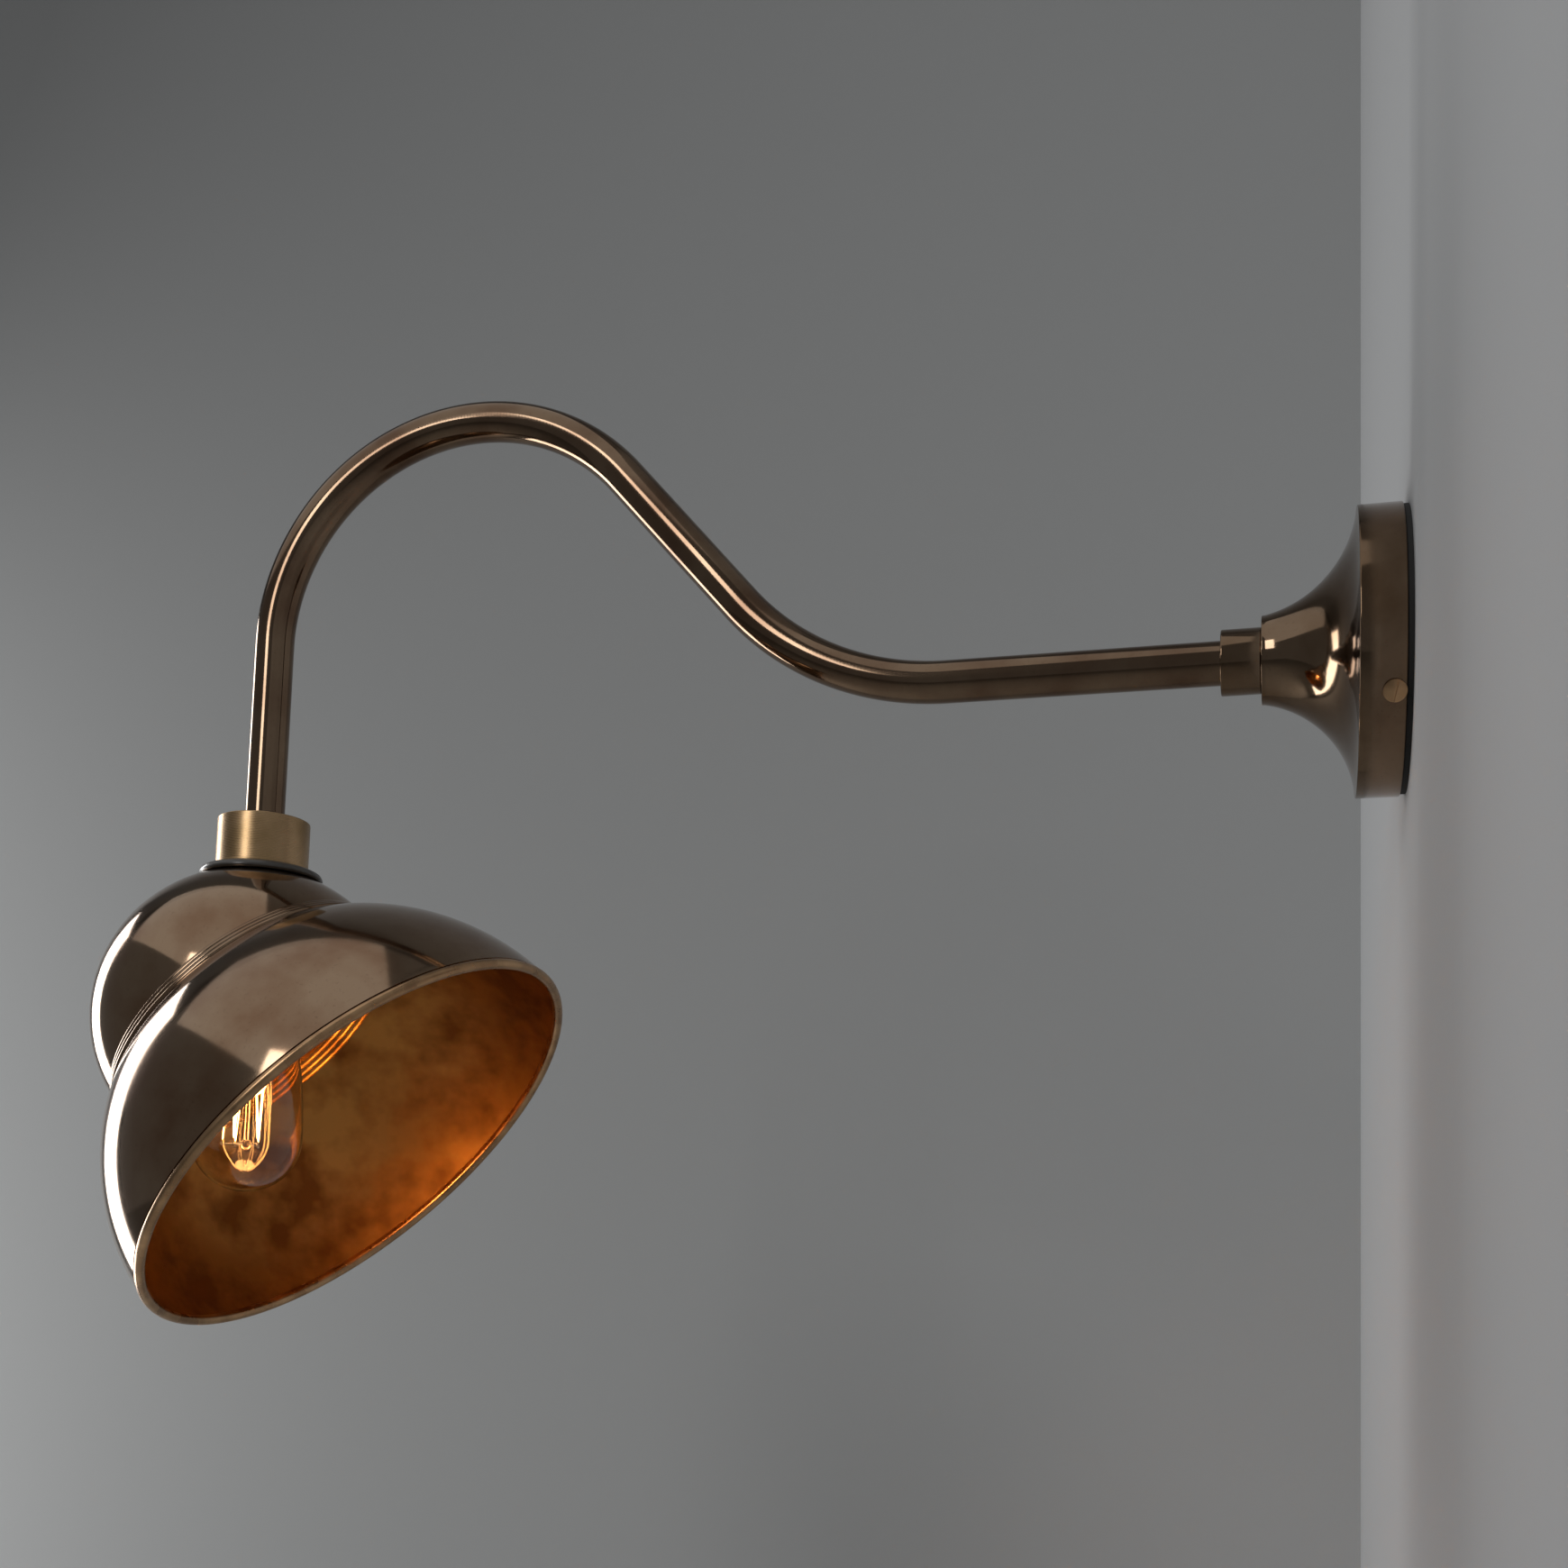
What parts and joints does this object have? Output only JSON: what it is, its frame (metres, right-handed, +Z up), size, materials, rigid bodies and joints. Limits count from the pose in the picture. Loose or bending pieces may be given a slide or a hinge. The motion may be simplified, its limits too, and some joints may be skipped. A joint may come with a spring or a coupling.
{
  "type": "gooseneck wall sconce",
  "caption": "Wall light with a trumpet rose, a bent gooseneck tube, a capped lampholder, a tilted double dome shade and a clear pear shaped lamp.",
  "frame": {"origin": "middle of the cable hole in the mounting plate, on the wall face", "axes": "+X into the wall along the arm's level run, -X out into the room, +Z up, +Y to the left of someone who faces the wall"},
  "size_m": [0.6106, 0.2413, 0.4509],
  "materials": {
    "gasket_rubber": "matt",
    "zinc_steel": "zinc plated",
    "rose_brass": "polished, darkened",
    "side_screw_brass": "polished, darkened",
    "screw_brass": "plain",
    "block_plastic": "moulded",
    "contact_brass": "plain",
    "steel_screws": "zinc plated",
    "collar_brass": "polished, darkened",
    "tube_brass": "polished, darkened",
    "live_insulation": "soft",
    "neutral_insulation": "soft",
    "earth_insulation": "soft",
    "cap_brass": "satin",
    "black_flange": "semi gloss black",
    "holder_plastic": "moulded",
    "holder_ceramic": "unglazed",
    "shade_brass": "polished, darkened",
    "solder": "dull",
    "black_glass": "gloss",
    "bulb_cap_brass": "plain",
    "clear_glass": "clear",
    "filament_wire": "glowing",
    "support_wire": "plain"
  },
  "bodies": {
    "fixed": {"wall_gasket": "gasket_rubber", "mounting_plate": "zinc_steel", "wall_rose": "rose_brass", "rose_side_screws": "side_screw_brass", "earth_screw": "screw_brass", "earth_washer": "screw_brass", "terminal_block": "block_plastic", "terminal_tubes": "contact_brass", "terminal_screws": "steel_screws", "arm_washer": "zinc_steel", "arm_locknut": "screw_brass", "arm_pipe": "zinc_steel", "arm_collar": "collar_brass", "gooseneck_tube": "tube_brass", "tube_end_bush": "screw_brass", "lamp_pipe": "zinc_steel", "cap_locknut": "screw_brass", "live_wire": "live_insulation", "neutral_wire": "neutral_insulation", "earth_wire": "earth_insulation", "lampholder_cap": "cap_brass", "lampholder_flange": "black_flange", "lampholder_sleeve": "holder_plastic", "shade_clamp_ring": "black_flange", "lampholder_insulator": "holder_ceramic", "holder_terminals": "contact_brass", "holder_terminal_screws": "steel_screws", "screw_shell": "contact_brass", "centre_contact": "contact_brass"},
    "shade": {"lamp_shade": "shade_brass"},
    "bulb": {"bulb_cap_contact": "solder", "bulb_cap_insulator": "black_glass", "bulb_cap": "bulb_cap_brass", "bulb_glass": "clear_glass", "bulb_stem": "clear_glass", "filament": "filament_wire", "filament_supports": "support_wire"}
  },
  "joints": [
    {"name": "shade_turn", "type": "hinge", "parent": "fixed", "child": "shade", "pos_m": [-0.53564, -0.00816, -0.07768], "axis": [0, -0.1045, -0.9945], "continuous": true},
    {"name": "bulb_unscrew", "type": "slide", "parent": "fixed", "child": "bulb", "axis": [0, -0.1045, -0.9945], "range_m": [0, 0.026]}
  ]
}
